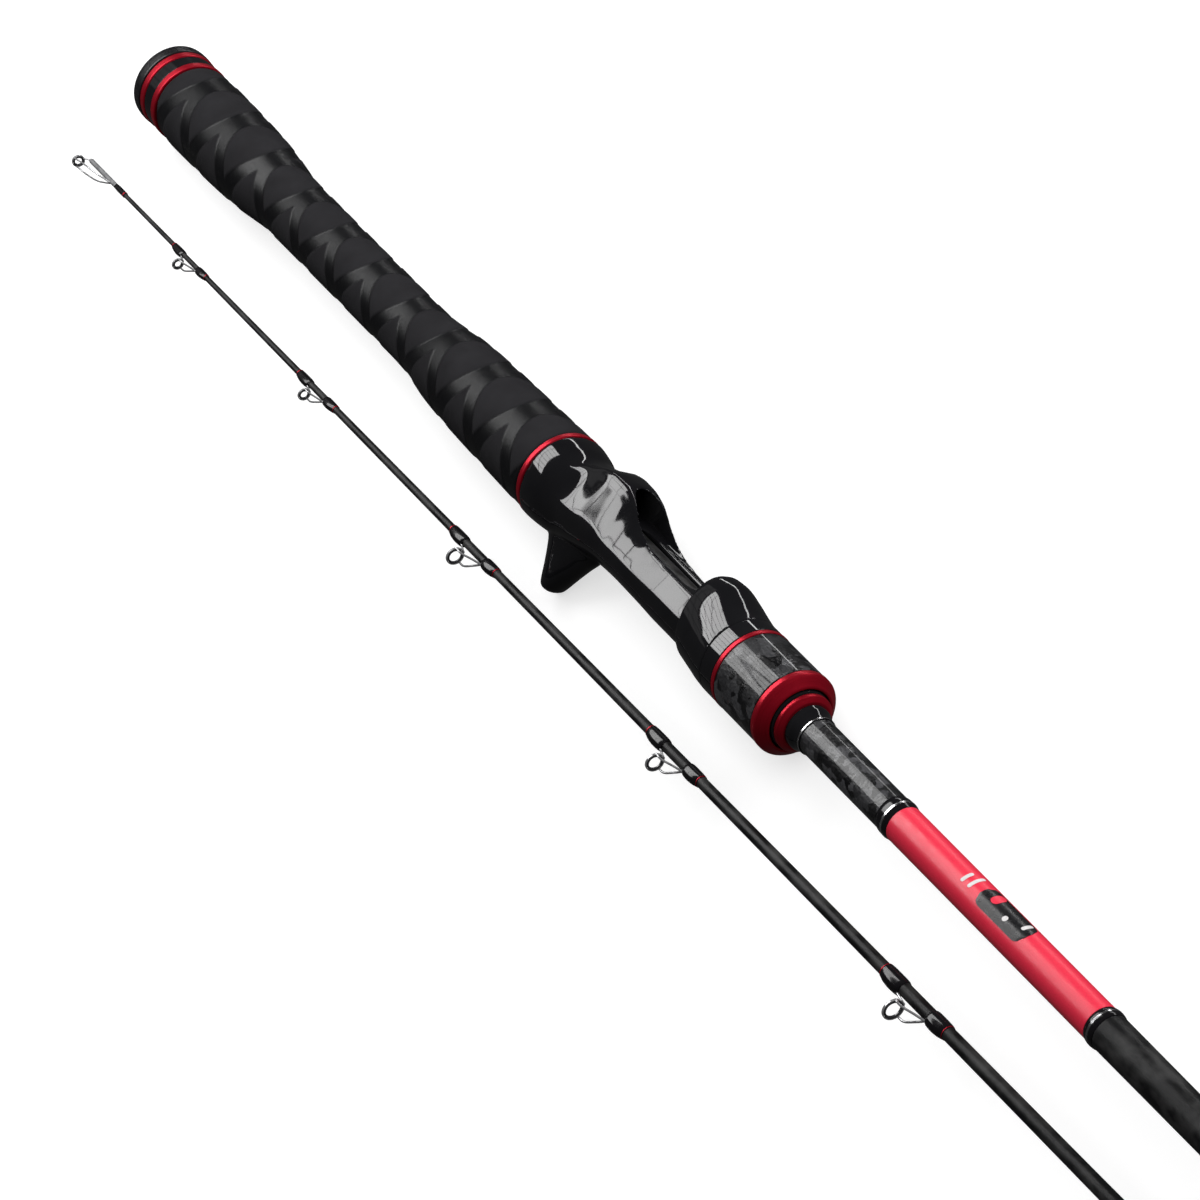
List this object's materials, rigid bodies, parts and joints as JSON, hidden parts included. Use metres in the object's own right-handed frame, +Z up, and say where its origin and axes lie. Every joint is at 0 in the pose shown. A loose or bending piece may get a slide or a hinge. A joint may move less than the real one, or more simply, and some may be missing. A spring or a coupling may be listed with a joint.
{
  "type": "two-piece casting rod",
  "caption": "Two-piece casting rod laid side by side: butt section with trigger reel seat, sliding hood and lock nut, and tip section with guides.",
  "frame": {"origin": "middle of the bounding box, on the plane that the rod lies on", "axes": "+X from the butt cap towards the ferrule, +Y on the reel side of the butt section, +Z up"},
  "size_m": [0.9392, 0.0562, 0.029],
  "materials": {
    "gloss_black": "piano-gloss black moulding",
    "grip_foam": "dense closed-cell foam with a satin camouflage print",
    "arbor_foam": "rigid foam filler",
    "red_anodised": "turned and red anodised",
    "forged_carbon": "forged carbon flakes under clear coat",
    "red_paint": "red lacquer on the blank, satin gloss",
    "blank_carbon": "unsanded carbon fibre blank, matte",
    "thread_epoxy": "black thread under glossy epoxy",
    "guide_metal": "polished dark-chromed steel",
    "guide_ceramic": "polished dark ceramic"
  },
  "bodies": {
    "butt_section": {"butt_cap": "gloss_black", "butt_ring_rear": "red_anodised", "butt_ring_front": "red_anodised", "butt_band": "forged_carbon", "rear_grip": "grip_foam", "winding_check": "red_anodised", "reel_seat": "gloss_black", "seat_arbor": "arbor_foam", "butt_blank": "blank_carbon", "ferrule_socket": "thread_epoxy", "front_check": "red_anodised", "check_collar": "gloss_black", "foregrip_sleeve": "forged_carbon", "wrap_a": "thread_epoxy", "red_sleeve": "red_paint", "wrap_b": "thread_epoxy", "stripper_frame": "guide_metal", "stripper_ring": "guide_ceramic", "stripper_wrap_tip": "thread_epoxy", "stripper_wrap_butt": "thread_epoxy"},
    "hood": {"front_hood": "gloss_black", "hood_collar": "gloss_black"},
    "nut": {"nut_ring": "red_anodised", "lock_nut": "forged_carbon", "nose_ring": "red_anodised"},
    "tip_section": {"tip_blank": "blank_carbon", "tip_ferrule_wrap": "thread_epoxy", "spigot": "blank_carbon", "tip_top_frame": "guide_metal", "tip_top_ring": "guide_ceramic", "tip_top_wrap": "thread_epoxy", "guide_1_frame": "guide_metal", "guide_1_ring": "guide_ceramic", "guide_1_wrap_tip": "thread_epoxy", "guide_1_wrap_butt": "thread_epoxy", "guide_2_frame": "guide_metal", "guide_2_ring": "guide_ceramic", "guide_2_wrap_tip": "thread_epoxy", "guide_2_wrap_butt": "thread_epoxy", "guide_3_frame": "guide_metal", "guide_3_ring": "guide_ceramic", "guide_3_wrap_tip": "thread_epoxy", "guide_3_wrap_butt": "thread_epoxy", "guide_4_frame": "guide_metal", "guide_4_ring": "guide_ceramic", "guide_4_wrap_tip": "thread_epoxy", "guide_4_wrap_butt": "thread_epoxy", "guide_5_frame": "guide_metal", "guide_5_ring": "guide_ceramic", "guide_5_wrap_tip": "thread_epoxy", "guide_5_wrap_butt": "thread_epoxy", "guide_6_frame": "guide_metal", "guide_6_ring": "guide_ceramic", "guide_6_wrap_tip": "thread_epoxy", "guide_6_wrap_butt": "thread_epoxy", "guide_7_frame": "guide_metal", "guide_7_ring": "guide_ceramic", "guide_7_wrap_tip": "thread_epoxy", "guide_7_wrap_butt": "thread_epoxy"}
  },
  "joints": [
    {"name": "hood_slide", "type": "slide", "parent": "butt_section", "child": "hood", "axis": [1, 0, 0], "range_m": [-0.012, 0]},
    {"name": "nut_turn", "type": "hinge", "parent": "hood", "child": "nut", "pos_m": [-0.0918, 0.01246, 0.01491], "axis": [1, 0, 0], "range_deg": [-2161, 0]},
    {"name": "ferrule_turn", "type": "hinge", "parent": "butt_section", "child": "tip_section", "pos_m": [0.46352, 0.00068, 0.01491], "axis": [0, 0, 1], "range_deg": [0, 179.27]}
  ],
  "couplings": [
    {"joint": "nut_turn", "follows": "hood_slide", "rad_per_m": 3141.6}
  ]
}
